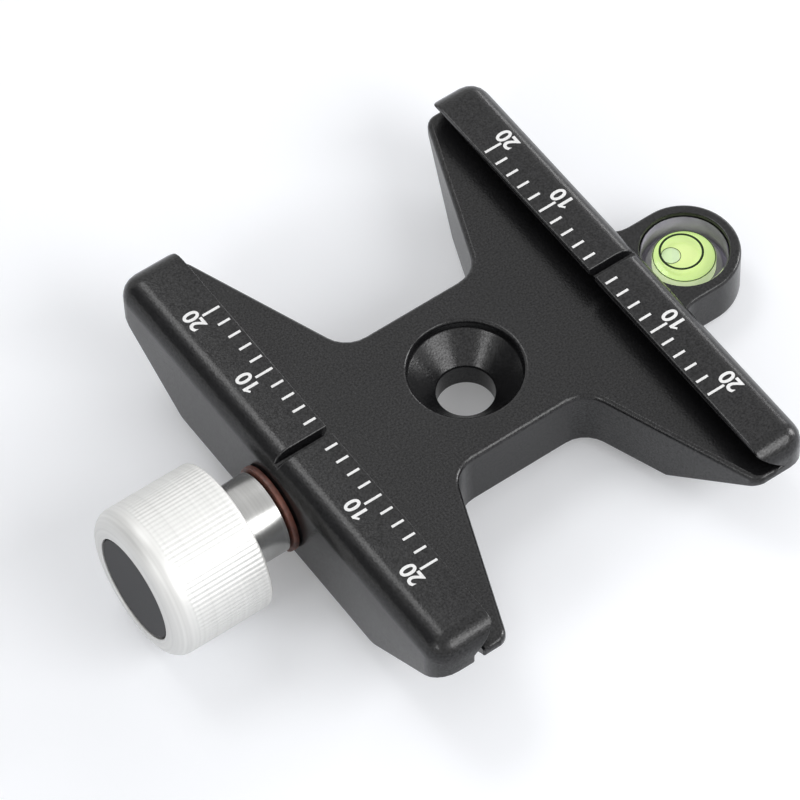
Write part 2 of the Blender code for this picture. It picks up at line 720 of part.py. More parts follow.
def build_washer(knob_axis, material):
    outer = NECK_RADIUS + WASHER_LIP
    inner = SCREW_RADIUS + RUNNING_GAP
    top = washer_s + WASHER_THICKNESS
    profile = [(outer, top), (outer, washer_s), (inner, washer_s), (inner, top)]
    return turned("friction_washer", profile, knob_axis, material, FINE_STEPS, ring=True)


def dome(radius, rise, base, steps=4):
    """Points of a shallow dome from its crown out to its rim, for a turned profile."""
    sphere = (radius**2 + rise**2) / (2 * rise)
    reach = [radius * i / steps for i in range(steps + 1)]
    return [(r, base + rise - sphere + math.sqrt(sphere**2 - r**2)) for r in reach]


def build_level(root, vial_material, liquid_material, plug_material):
    """A round spirit level: a clear vial, the liquid with its bubble, and the plug under it."""
    vial_axis = new_empty("vial_axis", (level_x, 0, 0), parent=root)
    ceiling = dome(CHAMBER_RADIUS, dome_rise, chamber_top_z - dome_rise)
    plug_recess = PLUG_RADIUS + PRESS_GAP
    vial = [
        (0, vial_top_z),
        (VIAL_RADIUS, vial_top_z),
        (VIAL_RADIUS, vial_base_z),
        (plug_recess, vial_base_z),
        (plug_recess, chamber_base_z),
        (CHAMBER_RADIUS, chamber_base_z),
        *reversed(ceiling),
    ]
    turned("level_vial", vial, vial_axis, vial_material, FINE_STEPS)

    liquid_radius = CHAMBER_RADIUS - PRESS_GAP
    liquid_top = chamber_top_z - dome_rise - PRESS_GAP
    liquid = [
        *dome(liquid_radius, dome_rise, liquid_top),
        (liquid_radius, chamber_base_z),
        (0, chamber_base_z),
    ]
    liquid_part = turned("level_liquid", liquid, vial_axis, liquid_material, FINE_STEPS)
    bubble_top = liquid_top + dome_rise + MARGIN
    bubble_floor = liquid_top - vial_height * BUBBLE_SHARE
    bubble = [
        (0, bubble_top),
        (BUBBLE_RADIUS, bubble_top),
        (BUBBLE_RADIUS, liquid_top),
        (BUBBLE_RADIUS * 0.7, bubble_floor),
        (0, bubble_floor),
    ]
    bubble_cut = turned("bubble_cut", bubble, vial_axis)
    bubble_cut.location = (*BUBBLE_SHIFT, 0)
    boolean(liquid_part, bubble_cut)

    plug = [(0, plug_top_z), (PLUG_RADIUS, plug_top_z), (PLUG_RADIUS, vial_base_z), (0, vial_base_z)]
    turned("level_plug", plug, vial_axis, plug_material, FINE_STEPS)


def build_clamp():
    anodised = new_material("black_anodised", (0.035, 0.035, 0.037), 0.45, 0.6)
    knob_metal = new_material("silver_anodised", (0.82, 0.82, 0.80), 0.3, 0.9)
    cap_plastic = new_material("cap_black", (0.05, 0.05, 0.055), 0.5)
    steel = new_material("steel", (0.55, 0.55, 0.56), 0.3, 1.0)
    washer_fibre = new_material("washer_brown", (0.16, 0.05, 0.035), 0.6)
    clear = new_material("vial_clear", (0.85, 0.85, 0.9), 0.05, 0.0, 1.0)
    liquid = new_material("level_green", (0.55, 0.9, 0.12), 0.05, 0.0, 0.6)
    plug = new_material("plug_white", (0.8, 0.85, 0.7), 0.5)

    root = new_empty("clamp", (0, 0, 0))
    build_body(root, anodised)
    carriage = new_empty("jaw_carriage", (0, 0, 0), parent=root)
    build_moving_jaw(carriage, anodised)
    pin_line = new_empty("pin_line", (0, 0, axis_z), (0, -math.pi / 2, 0), carriage)
    build_guide_pins(pin_line, steel)
    build_springs(root, steel)

    knob_axis = new_empty("knob_axis", (0, 0, axis_z), (0, -math.pi / 2, 0), carriage)
    build_knob(knob_axis, knob_metal)
    build_knob_cap(knob_axis, cap_plastic)
    build_clamp_screw(knob_axis, steel)
    build_retaining_ring(knob_axis, steel)
    build_washer(knob_axis, washer_fibre)
    build_level(root, clear, liquid, plug)


clear_scene()
part_collection = new_collection("dovetail_clamp")
cutter_collection = new_collection("cutters")
build_clamp()
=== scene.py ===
"""The looks of a dovetail quick release clamp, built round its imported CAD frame.

Lengths are metres. +X runs across the clamp from the knob to the spirit level, +Y along the
channel, +Z up. The origin is the mounting hole on the underside.
"""

import json
import math

import bmesh
import bpy
from bpy.props import FloatProperty, FloatVectorProperty, IntProperty, PointerProperty
from bpy.types import Operator, Panel, PropertyGroup
from mathutils import Matrix, Vector

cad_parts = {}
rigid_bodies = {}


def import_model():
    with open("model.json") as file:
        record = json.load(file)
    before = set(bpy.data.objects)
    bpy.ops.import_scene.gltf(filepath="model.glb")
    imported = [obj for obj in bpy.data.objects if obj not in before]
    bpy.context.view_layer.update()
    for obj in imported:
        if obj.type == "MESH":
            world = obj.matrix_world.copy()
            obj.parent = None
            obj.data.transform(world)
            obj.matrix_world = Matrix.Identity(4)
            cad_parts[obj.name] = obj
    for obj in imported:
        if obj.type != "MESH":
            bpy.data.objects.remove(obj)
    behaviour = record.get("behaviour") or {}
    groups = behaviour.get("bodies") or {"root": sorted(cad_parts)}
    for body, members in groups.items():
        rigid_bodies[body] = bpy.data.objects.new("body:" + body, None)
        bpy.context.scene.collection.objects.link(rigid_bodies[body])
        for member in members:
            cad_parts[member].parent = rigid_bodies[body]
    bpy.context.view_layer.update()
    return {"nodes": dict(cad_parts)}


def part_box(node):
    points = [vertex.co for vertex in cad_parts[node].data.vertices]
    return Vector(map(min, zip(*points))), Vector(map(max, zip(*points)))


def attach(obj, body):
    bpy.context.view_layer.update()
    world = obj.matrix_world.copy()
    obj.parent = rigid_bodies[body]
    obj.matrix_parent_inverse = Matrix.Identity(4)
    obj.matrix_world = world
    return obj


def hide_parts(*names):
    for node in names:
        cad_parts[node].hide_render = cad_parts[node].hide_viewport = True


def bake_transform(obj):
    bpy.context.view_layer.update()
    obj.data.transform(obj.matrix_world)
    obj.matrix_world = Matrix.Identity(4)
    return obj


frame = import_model()

bl_info = {
    "name": "Dovetail Clamp Looks",
    "version": (1, 0, 0),
    "blender": (4, 5, 0),
    "location": "3D View > Sidebar > Clamp",
    "description": "Builds the visible surfaces, the materials and the studio of a dovetail clamp",
    "category": "Object",
}

MM = 0.001


def color_setting(name, description, default):
    """A colour that a user may change."""
    return FloatVectorProperty(
        name=name,
        description=description,
        subtype="COLOR",
        size=3,
        min=0,
        max=1,
        default=default,
    )


def length_setting(name, description, default):
    """A length that a user may change."""
    return FloatProperty(
        name=name, description=description, subtype="DISTANCE", unit="LENGTH", default=default
    )


def power_setting(name, description, default):
    """The power of a lamp."""
    return FloatProperty(name=name, description=description, unit="POWER", default=default)


# Places taken from the frame
body_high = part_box("base_body")[1]
jaw_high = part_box("moving_jaw")[1]
knob_low, knob_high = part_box("knob")
vial_low, vial_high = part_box("level_vial")
liquid_low, liquid_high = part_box("level_liquid")
screw_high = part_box("clamp_screw")[1]
spring_low, spring_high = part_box("jaw_spring_front")
axis_z = (knob_low.z + knob_high.z) / 2
knob_radius = (knob_high.z - knob_low.z) / 2
jaw_top_z = body_high.z
vial_x = (vial_low.x + vial_high.x) / 2
spring_y = (spring_low.y + spring_high.y) / 2
underside_end_x = body_high.x - 10.6 * MM

# Where the top of each jaw begins at its lip, and the middle of its row of numbers
FIXED_LIP_X = 16.7 * MM
FIXED_NUMBERS_X = 20.2 * MM
MOVING_LIP_X = -17.5 * MM
MOVING_NUMBERS_X = -21.03 * MM

PRINT_THICKNESS = 0.02 * MM
PRINT_Z = jaw_top_z + 0.002 * MM


class ClampFinish(PropertyGroup):
    """Colours and surface sizes of the clamp's finishes."""

    anodise_color: color_setting(
        "Anodise", "Colour of the black anodised metal", (0.006, 0.006, 0.0066)
    )
    silver_color: color_setting("Silver", "Colour of the clear anodised knob", (0.75, 0.75, 0.735))
    cap_color: color_setting(
        "Cap", "Colour of the disc in the knob's front", (0.013, 0.013, 0.0155)
    )
    washer_color: color_setting("Washer", "Colour of the fibre washer", (0.13, 0.048, 0.034))
    liquid_color: color_setting("Liquid", "Colour of the spirit level's liquid", (0.68, 0.98, 0.28))
    print_color: color_setting("Scale marks", "Colour of the marks and numbers", (0.9, 0.9, 0.9))
    grain_size: length_setting(
        "Blasting grain", "Width of one dimple of the bead blasting", 0.22 * MM
    )
    edge_width: length_setting(
        "Edge width", "Width of the broken edge on machined corners", 0.2 * MM
    )


class ClampScale(PropertyGroup):
    """Sizes of the scale on top of both jaws."""

    spacing: length_setting("Spacing", "Distance from one mark to the next", 2.0 * MM)
    marks_a_side: IntProperty(
        name="Marks a side",
        description="Number of marks from the notch to either end",
        default=10,
        min=1,
    )
    short_length: length_setting("Short mark", "Length of an ordinary mark", 1.5 * MM)
    long_length: length_setting(
        "Long mark", "Length of the mark at every tenth millimetre", 2.15 * MM
    )
    mark_width: length_setting("Mark width", "Thickness of a mark's line", 0.3 * MM)
    inset: length_setting("Inset", "From the lip's edge to the inner end of a mark", 0.4 * MM)
    number_size: length_setting("Number size", "Size of the type for the numbers", 2.55 * MM)


class ClampKnob(PropertyGroup):
    """Sizes of the turned and knurled knob."""

    ridges: IntProperty(
        name="Ridges",
        description="Number of ridges round the knob",
        default=96,
        min=12,
    )
    groove_depth: length_setting("Groove depth", "Depth of a groove between two ridges", 0.065 * MM)
    front_round: length_setting(
        "Front rounding", "Radius between the knob's front and its grip", 2.0 * MM
    )
    face_rim: length_setting("Face rim", "Flat ring between the rounding and the cap", 0.65 * MM)
    plain_band: length_setting(
        "Plain band", "Smooth band between the rounding and the knurl", 0.5 * MM
    )
    grip_length: length_setting("Grip length", "Length of the wide part of the knob", 12.0 * MM)


class ClampStudio(PropertyGroup):
    """Floor and light of the studio."""

    floor_color: color_setting("Floor", "Colour of the floor", (0.85, 0.865, 0.9))
    key_power: power_setting("Key light", "Power of the light over the clamp's far side", 0.7)
    front_power: power_setting("Front light", "Power of the large light before the clamp", 2.9)
    knob_power: power_setting("Knob light", "Power of the light on the knob's side", 0.5)
    rim_power: power_setting("Rim light", "Power of the low light beyond the spirit level", 2.2)
    edge_power: power_setting(
        "Edge light", "Power of the light behind the spirit level, which the lips' edges mirror", 0.3
    )


# Meshes


def new_piece(name, bm, materials, body, smooth_angle=math.radians(30)):
    """An object from a finished bmesh, riding on a body of the frame if one is named."""
    mesh = bpy.data.meshes.new(name)
    bm.to_mesh(mesh)
    bm.free()
    for material in materials:
        mesh.materials.append(material)
    mesh.shade_smooth()
    mesh.set_sharp_from_angle(angle=smooth_angle)
    piece = bpy.data.objects.new(name, mesh)
    bpy.context.scene.collection.objects.link(piece)
    if body:
        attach(piece, body)
    return piece


def crisp_copy(node, edge_width):
    """A merged copy of a CAD node with flat faces joined up and its sharp edges broken."""
    bm = bmesh.new()
    bm.from_mesh(frame["nodes"][node].data)
    bmesh.ops.remove_doubles(bm, verts=bm.verts, dist=0.002 * MM)
    bmesh.ops.dissolve_limit(
        bm,
        angle_limit=math.radians(0.6),
        verts=bm.verts,
        edges=bm.edges,
        use_dissolve_boundaries=False,
    )
    if node == "base_body":
        round_tab(bm)
    if edge_width:
        sharp = [
            edge
            for edge in bm.edges
            if len(edge.link_faces) == 2 and abs(edge.calc_face_angle(0)) > math.radians(28)
        ]
        bmesh.ops.bevel(
            bm,
            geom=sharp,
            offset=edge_width,
            offset_type="OFFSET",
            segments=2,
            profile=0.5,
            affect="EDGES",
            clamp_overlap=False,
            material=-1,
        )
    return bm


def round_tab(bm):
    """Splits the tab's facets round the spirit level and moves the new points onto its circle."""

    def reach(vert):
        return math.hypot(vert.co.x - vial_x, vert.co.y)

    widest = max(reach(vert) for vert in bm.verts if vert.co.x > vial_x + 4 * MM)
    chords = {}
    for edge in bm.edges:
        ends = sorted(reach(vert) for vert in edge.verts)
        level = abs(edge.verts[0].co.z - edge.verts[1].co.z) < 0.01 * MM
        near = widest - 0.5 * MM < ends[0] and ends[1] < widest + 0.01 * MM
        if level and near and ends[1] - ends[0] < 0.01 * MM and edge.calc_length() > 0.5 * MM:
            chords[edge] = ends[0]
    radii = sorted(chords.values())
    split = bmesh.ops.subdivide_edges(bm, edges=list(chords), cuts=3)
    for vert in (item for item in split["geom_inner"] if isinstance(item, bmesh.types.BMVert)):
        length = reach(vert)
        radius = next((radius for radius in radii if radius >= length), widest)
        vert.co.x = vial_x + (vert.co.x - vial_x) * radius / length
        vert.co.y *= radius / length


def weigh_normals(piece):
    """Keeps flat faces flat in the shading beside their narrow broken edges."""
    weighted = piece.modifiers.new("weighted_normals", "WEIGHTED_NORMAL")
    weighted.keep_sharp = True
    weighted.weight = 100
    graph = bpy.context.evaluated_depsgraph_get()
    mesh = bpy.data.meshes.new_from_object(piece.evaluated_get(graph))
    piece.modifiers.clear()
    plain = piece.data
    piece.data = mesh
    bpy.data.meshes.remove(plain)
    mesh.name = piece.name


def spun(profile, steps, closed=False):
    """A bmesh turned round Z from a line of (radius, height) points, top to bottom outside."""
    bm = bmesh.new()
    verts = [bm.verts.new((radius, 0, height)) for radius, height in profile]
    ends = verts[1:] + verts[:1] if closed else verts[1:]
    edges = [bm.edges.new(pair) for pair in zip(verts, ends)]
    bmesh.ops.spin(
        bm,
        geom=verts + edges,
        cent=(0, 0, 0),
        axis=(0, 0, 1),
        angle=2 * math.pi,
        steps=steps,
        use_merge=True,
    )
    bmesh.ops.remove_doubles(bm, verts=bm.verts, dist=0.0005 * MM)
    bmesh.ops.recalc_face_normals(bm, faces=bm.faces)
    return bm


def onto_screw_axis(bm):
    """Lays a part turned round Z on the screw's axis, with its top towards -X."""
    turn = Matrix.Translation((0, 0, axis_z)) @ Matrix.Rotation(-math.pi / 2, 4, "Y")
    bmesh.ops.transform(bm, matrix=turn, verts=bm.verts)


def wind(bm, turns, steps, climb):
    """Winds a section into a helix that climbs at each step, and lays it on the screw's axis."""
    bmesh.ops.spin(
        bm,
        geom=bm.faces[:],
        cent=(0, 0, 0),
        axis=(0, 0, 1),
        dvec=(0, 0, climb),
        angle=2 * math.pi * turns,
        steps=steps,
    )
    bmesh.ops.recalc_face_normals(bm, faces=bm.faces)
    onto_screw_axis(bm)


def corner(centre, radius, start, end, steps=8):
    """Points on a rounded corner of a turned profile, from one angle in degrees to another."""
    angles = [math.radians(start + (end - start) * i / steps) for i in range(steps + 1)]
    return [(centre[0] + radius * math.cos(a), centre[1] + radius * math.sin(a)) for a in angles]


# Shader node groups


def new_group(name, inputs, outputs):
    """An empty shader node group with float inputs and named outputs."""
    group = bpy.data.node_groups.new(name, "ShaderNodeTree")
    for socket, default in inputs:
        made = group.interface.new_socket(socket, in_out="INPUT", socket_type="NodeSocketFloat")
        made.default_value = default
    for socket, kind in outputs:
        group.interface.new_socket(socket, in_out="OUTPUT", socket_type=kind)
    start = group.nodes.new("NodeGroupInput")
    end = group.nodes.new("NodeGroupOutput")
    start.location = (-900, 0)
    end.location = (600, 0)
    return group, start, end


def add_node(tree, kind, location, **settings):
    node = tree.nodes.new(kind)
    node.location = location
    for name, value in settings.items():
        setattr(node, name, value)
    return node


def math_node(tree, operation, first, second, location):
    """A Math node fed by sockets or plain numbers."""
    node = add_node(tree, "ShaderNodeMath", location, operation=operation)
    for socket, value in zip(node.inputs, (first, second)):
        if isinstance(value, (int, float)):
            socket.default_value = value
        else:
            tree.links.new(value, socket)
    return node.outputs[0]


def make_grain_group():
    """Overlapping dimples of bead blasting: a height and an uneven sheen."""
    group, start, end = new_group(
        "Blasted grain",
        [("Grain size (mm)", 0.16), ("Patch size (mm)", 9.0)],
        [("Height", "NodeSocketFloat"), ("Patches", "NodeSocketFloat"), ("Specks", "NodeSocketFloat")],
    )
    coords = add_node(group, "ShaderNodeTexCoord", (-1100, 200))
    fine_scale = math_node(group, "DIVIDE", 1000.0, start.outputs[0], (-700, 250))
    patch_scale = math_node(group, "DIVIDE", 1000.0, start.outputs[1], (-700, -250))
    dimples = add_node(group, "ShaderNodeTexVoronoi", (-450, 350), feature="SMOOTH_F1")
    dimples.inputs["Smoothness"].default_value = 0.6
    noise = add_node(group, "ShaderNodeTexNoise", (-450, 50))
    noise.inputs["Detail"].default_value = 3.0
    noise.inputs["Roughness"].default_value = 0.6
    patches = add_node(group, "ShaderNodeTexNoise", (-450, -300))
    patches.inputs["Detail"].default_value = 2.0
    for texture, scale in ((dimples, fine_scale), (noise, fine_scale), (patches, patch_scale)):
        group.links.new(coords.outputs["Object"], texture.inputs["Vector"])
        group.links.new(scale, texture.inputs["Scale"])
    height = math_node(group, "ADD", dimples.outputs["Distance"], noise.outputs["Fac"], (-100, 200))
    group.links.new(height, end.inputs["Height"])
    group.links.new(patches.outputs["Fac"], end.inputs["Patches"])
    group.links.new(noise.outputs["Fac"], end.inputs["Specks"])
    return group


def make_lathe_group():
    """Turning marks round the screw's axis: rings along it and rings out from it."""
    group, start, end = new_group(
        "Lathe lines",
        [("Line width (mm)", 0.05), ("Axis height (m)", 0.0)],
        [("Height", "NodeSocketFloat"), ("Streaks", "NodeSocketFloat")],
    )
    coords = add_node(group, "ShaderNodeTexCoord", (-1300, 200))
    split = add_node(group, "ShaderNodeSeparateXYZ", (-1100, 200))
    group.links.new(coords.outputs["Object"], split.inputs[0])
    lift = math_node(group, "SUBTRACT", split.outputs["Z"], start.outputs[1], (-900, 50))
    side_squared = math_node(group, "MULTIPLY", split.outputs["Y"], split.outputs["Y"], (-900, 250))
    lift_squared = math_node(group, "MULTIPLY", lift, lift, (-700, 50))
    total = math_node(group, "ADD", side_squared, lift_squared, (-500, 150))
    reach = math_node(group, "SQRT", total, 0.0, (-350, 150))
    section = add_node(group, "ShaderNodeCombineXYZ", (-200, 150))
    group.links.new(split.outputs["X"], section.inputs["X"])
    group.links.new(reach, section.inputs["Y"])
    scale = math_node(group, "DIVIDE", 1000.0, start.outputs[0], (-350, -100))
    lines = add_node(group, "ShaderNodeTexNoise", (0, 150))
    lines.inputs["Detail"].default_value = 2.0
    group.links.new(section.outputs[0], lines.inputs["Vector"])
    group.links.new(scale, lines.inputs["Scale"])
    broad_scale = math_node(group, "MULTIPLY", scale, 0.12, (-150, -250))
    broad = add_node(group, "ShaderNodeTexNoise", (50, -150))
    broad.inputs["Detail"].default_value = 1.0
    group.links.new(section.outputs[0], broad.inputs["Vector"])
    group.links.new(broad_scale, broad.inputs["Scale"])
    end.location = (300, 100)
    group.links.new(lines.outputs["Fac"], end.inputs["Height"])
    group.links.new(broad.outputs["Fac"], end.inputs["Streaks"])
    return group


# Materials


def new_material(name, color, roughness, metallic=0.0, ior=1.5):
    material = bpy.data.materials.new(name)
    material.use_nodes = True
    shader = material.node_tree.nodes["Principled BSDF"]
    shader.inputs["Base Color"].default_value = (*color, 1.0)
    shader.inputs["Roughness"].default_value = roughness
    shader.inputs["Metallic"].default_value = metallic
    shader.inputs["IOR"].default_value = ior
    return material, material.node_tree, shader


def place_group(tree, group, location):
    return add_node(tree, "ShaderNodeGroup", location, node_tree=group)


def vary(tree, fac, low, high, location):
    """A value that runs from low to high with a noise, which seldom leaves 0.3 to 0.7."""
    node = add_node(tree, "ShaderNodeMapRange", location)
    tree.links.new(fac, node.inputs["Value"])
    node.inputs["From Min"].default_value = 0.3
    node.inputs["From Max"].default_value = 0.7
    node.inputs["To Min"].default_value = low
    node.inputs["To Max"].default_value = high
    return node.outputs["Result"]


def tint(tree, fac, dark, light, location, low=0.3, high=0.7):
    """A colour that runs between two with a mask."""
    ramp = add_node(tree, "ShaderNodeValToRGB", location)
    ramp.color_ramp.elements[0].position = low
    ramp.color_ramp.elements[0].color = (*dark, 1)
    ramp.color_ramp.elements[1].position = high
    ramp.color_ramp.elements[1].color = (*light, 1)
    tree.links.new(fac, ramp.inputs["Fac"])
    return ramp.outputs["Color"]


def shade(color, factor):
    return tuple(min(1.0, channel * factor) for channel in color)


def mottle(tree, shader, mask, color, dark, light):
    """Base Color that runs with a mask from a dark to a light share of one colour."""
    mixed = tint(tree, mask, shade(color, dark), shade(color, light), (-500, 250))
    tree.links.new(mixed, shader.inputs["Base Color"])
    return mixed


def vary_roughness(tree, shader, mask, low, high):
    rough = vary(tree, mask, low, high, (-500, -50))
    tree.links.new(rough, shader.inputs["Roughness"])


def add_bump(tree, shader, height, distance, strength):
    bump = add_node(tree, "ShaderNodeBump", (-300, -300))
    bump.inputs["Strength"].default_value = strength
    bump.inputs["Distance"].default_value = distance
    tree.links.new(height, bump.inputs["Height"])
    tree.links.new(bump.outputs["Normal"], shader.inputs["Normal"])


def make_anodised(finish, groups):
    """Bead-blasted black metal: fine dimples, faint specks and a slightly uneven sheen."""
    material, tree, shader = new_material(
        "black_anodised_blasted", finish.anodise_color, 0.24, 0.0, 1.45
    )
    grain = place_group(tree, groups["grain"], (-900, 0))
    grain.inputs["Grain size (mm)"].default_value = finish.grain_size / MM
    mottle(tree, shader, grain.outputs["Specks"], finish.anodise_color, 0.55, 1.6)
    sheen = vary(tree, grain.outputs["Specks"], 0.3, 0.7, (-500, -450))
    tree.links.new(sheen, shader.inputs["Specular IOR Level"])
    vary_roughness(tree, shader, grain.outputs["Patches"], 0.22, 0.27)
    add_bump(tree, shader, grain.outputs["Height"], 0.008 * MM, 1.0)
    return material


def make_silver(finish, groups, name, level, low, high, metallic):
    """Clear anodised turned metal with fine lathe lines, its roughness from low to high; level scales
    the colour, and below 1 the darkening is painted shade.
    """
    color = shade(finish.silver_color, level)
    material, tree, shader = new_material(name, color, (low + high) / 2, metallic)
    lathe = place_group(tree, groups["lathe"], (-900, 0))
    lathe.inputs["Axis height (m)"].default_value = axis_z
    mottle(tree, shader, lathe.outputs["Streaks"], color, 0.94, 1.05)
    vary_roughness(tree, shader, lathe.outputs["Height"], low, high)
    add_bump(tree, shader, lathe.outputs["Height"], 0.004 * MM, 0.6)
    return material


def make_cap(finish, groups):
    """Satin black disc with a fine spun grain."""
    material, tree, shader = new_material("cap_satin_black", finish.cap_color, 0.5, 0.0, 1.35)
    grain = place_group(tree, groups["grain"], (-900, 200))
    lathe = place_group(tree, groups["lathe"], (-900, -150))
    lathe.inputs["Line width (mm)"].default_value = 0.03
    lathe.inputs["Axis height (m)"].default_value = axis_z
    mottle(tree, shader, grain.outputs["Specks"], finish.cap_color, 0.8, 1.25)
    vary_roughness(tree, shader, lathe.outputs["Height"], 0.47, 0.53)
    add_bump(tree, shader, lathe.outputs["Height"], 0.002 * MM, 0.3)
    return material


def make_washer(finish, groups):
    """Pressed fibre: mottled brown with a rough, dry surface."""
    material, tree, shader = new_material("washer_fibre", finish.washer_color, 0.42)
    grain = place_group(tree, groups["grain"], (-900, 0))
    grain.inputs["Grain size (mm)"].default_value = 0.22
    grain.inputs["Patch size (mm)"].default_value = 1.4
    mottle(tree, shader, grain.outputs["Patches"], finish.washer_color, 0.55, 1.9)
    vary_roughness(tree, shader, grain.outputs["Specks"], 0.36, 0.5)
    add_bump(tree, shader, grain.outputs["Height"], 0.03 * MM, 0.8)
    return material


def make_steel(groups):
    """Machined steel for the screw, its ring, the pins and the springs."""
    material, tree, shader = new_material("steel_machined", (0.56, 0.56, 0.57), 0.28, 1.0)
    lathe = place_group(tree, groups["lathe"], (-900, 0))
    lathe.inputs["Line width (mm)"].default_value = 0.06
    lathe.inputs["Axis height (m)"].default_value = axis_z
    color = tint(
        tree, lathe.outputs["Streaks"], (0.42, 0.42, 0.43), (0.66, 0.66, 0.67), (-500, 250)
    )
    tree.links.new(color, shader.inputs["Base Color"])
    vary_roughness(tree, shader, lathe.outputs["Height"], 0.2, 0.36)
    add_bump(tree, shader, lathe.outputs["Height"], 0.005 * MM, 0.6)
    return material


def make_print(finish, groups):
    """Engraved white of the scale, with the blasting showing through it."""
    material, tree, shader = new_material("scale_white", finish.print_color, 0.55)
    grain = place_group(tree, groups["grain"], (-900, 0))
    mottle(tree, shader, grain.outputs["Specks"], finish.print_color, 0.82, 1.05)
    vary_roughness(tree, shader, grain.outputs["Specks"], 0.45, 0.65)
    add_bump(tree, shader, grain.outputs["Height"], 0.01 * MM, 0.5)
    return material


def make_clear(groups):
    """Clear moulded vial: it refracts, and lets light through to what lies under it."""
    material, tree, shader = new_material("vial_clear", (0.94, 0.94, 0.97), 0.03, 0.0, 1.33)
    shader.inputs["Transmission Weight"].default_value = 1.0
    grain = place_group(tree, groups["grain"], (-900, -100))
    grain.inputs["Grain size (mm)"].default_value = 1.2
    vary_roughness(tree, shader, grain.outputs["Patches"], 0.015, 0.05)
    output = tree.nodes["Material Output"]
    path = add_node(tree, "ShaderNodeLightPath", (0, 400))
    through = add_node(tree, "ShaderNodeBsdfTransparent", (0, 150))
    through.inputs["Color"].default_value = (0.94, 0.94, 0.97, 1)
    either = math_node(
        tree, "MAXIMUM", path.outputs["Is Shadow Ray"], path.outputs["Is Diffuse Ray"], (200, 400)
    )
    mix = add_node(tree, "ShaderNodeMixShader", (400, 200))
    tree.links.new(either, mix.inputs[0])
    tree.links.new(shader.outputs[0], mix.inputs[1])
    tree.links.new(through.outputs[0], mix.inputs[2])
    tree.links.new(mix.outputs[0], output.inputs["Surface"])
    return material


def make_frosted(groups):
    """The vial's sawn side wall, seen through its clear top as a pale lavender grey."""
    grey = (0.37, 0.34, 0.43)
    material, tree, shader = new_material("vial_side_frosted", grey, 0.7)
    grain = place_group(tree, groups["grain"], (-900, 0))
    grain.inputs["Patch size (mm)"].default_value = 2.5
    mottle(tree, shader, grain.outputs["Patches"], grey, 0.8, 1.2)
    vary_roughness(tree, shader, grain.outputs["Specks"], 0.6, 0.8)
    return material


def make_liquid(finish, groups):
    """Bright green liquid, a little yellower towards its middle, with a painted glow: it emits its own
    colour though it is no lamp.
    """
    material, tree, shader = new_material("level_liquid_green", finish.liquid_color, 0.12, 0.0, 1.33)
    coords = add_node(tree, "ShaderNodeTexCoord", (-1300, 200))
    centre = add_node(tree, "ShaderNodeMapping", (-1100, 200), vector_type="POINT")
    centre.inputs["Location"].default_value = (-vial_x * 240, 0, 0)
    centre.inputs["Scale"].default_value = (240, 240, 0)
    rings = add_node(tree, "ShaderNodeTexGradient", (-900, 200), gradient_type="SPHERICAL")
    tree.links.new(coords.outputs["Object"], centre.inputs["Vector"])
    tree.links.new(centre.outputs["Vector"], rings.inputs["Vector"])
    light = (min(1.0, finish.liquid_color[0] * 1.2), 1.0, finish.liquid_color[2] * 1.25)
    color = tint(tree, rings.outputs["Fac"], finish.liquid_color, light, (-600, 250), 0.0, 0.8)
    tree.links.new(color, shader.inputs["Base Color"])
    # Painted glow: the liquid emits the same green as its colour.
    tree.links.new(color, shader.inputs["Emission Color"])
    shader.inputs["Emission Strength"].default_value = 0.25
    grain = place_group(tree, groups["grain"], (-900, -200))
    grain.inputs["Grain size (mm)"].default_value = 1.5
    vary_roughness(tree, shader, grain.outputs["Patches"], 0.08, 0.2)
    return material


def make_pale(groups, name, pale, roughness, glow):
    """Pale green of the air bubble and of the liquid's side, with a painted glow that stands for light
    through the liquid.
    """
    material, tree, shader = new_material(name, pale, roughness, 0.0, 1.33)
    grain = place_group(tree, groups["grain"], (-900, 0))
    grain.inputs["Grain size (mm)"].default_value = 1.0
    grain.inputs["Patch size (mm)"].default_value = 2.0
    color = mottle(tree, shader, grain.outputs["Patches"], pale, 0.85, 1.1)
    # Painted glow: the pale colour is emitted as well as reflected.
    tree.links.new(color, shader.inputs["Emission Color"])
    shader.inputs["Emission Strength"].default_value = glow
    return material


def make_level_line(groups):
    """Dark line: printed for the level's circle, painted shade for the chamber's edge and for the
    bubble's rim.
    """
    dark = (0.008, 0.02, 0.004)
    material, tree, shader = new_material("level_line_dark", dark, 0.55, 0.0, 1.3)
    grain = place_group(tree, groups["grain"], (-900, 0))
    mottle(tree, shader, grain.outputs["Specks"], dark, 0.7, 1.5)
    vary_roughness(tree, shader, grain.outputs["Specks"], 0.5, 0.6)
    return material


def make_plug(groups):
    """Pale moulded plug under the vial: its white is painted green as light through the green liquid,
    and it emits that colour as a painted glow.
    """
    pale = (0.72, 0.93, 0.42)
    material, tree, shader = new_material("plug_painted_green_glow", pale, 0.5)
    # Painted glow: the plug emits its painted green.
    shader.inputs["Emission Color"].default_value = (*pale, 1.0)
    shader.inputs["Emission Strength"].default_value = 0.28
    grain = place_group(tree, groups["grain"], (-900, 0))
    mottle(tree, shader, grain.outputs["Patches"], pale, 0.9, 1.08)
    vary_roughness(tree, shader, grain.outputs["Specks"], 0.42, 0.58)
    return material


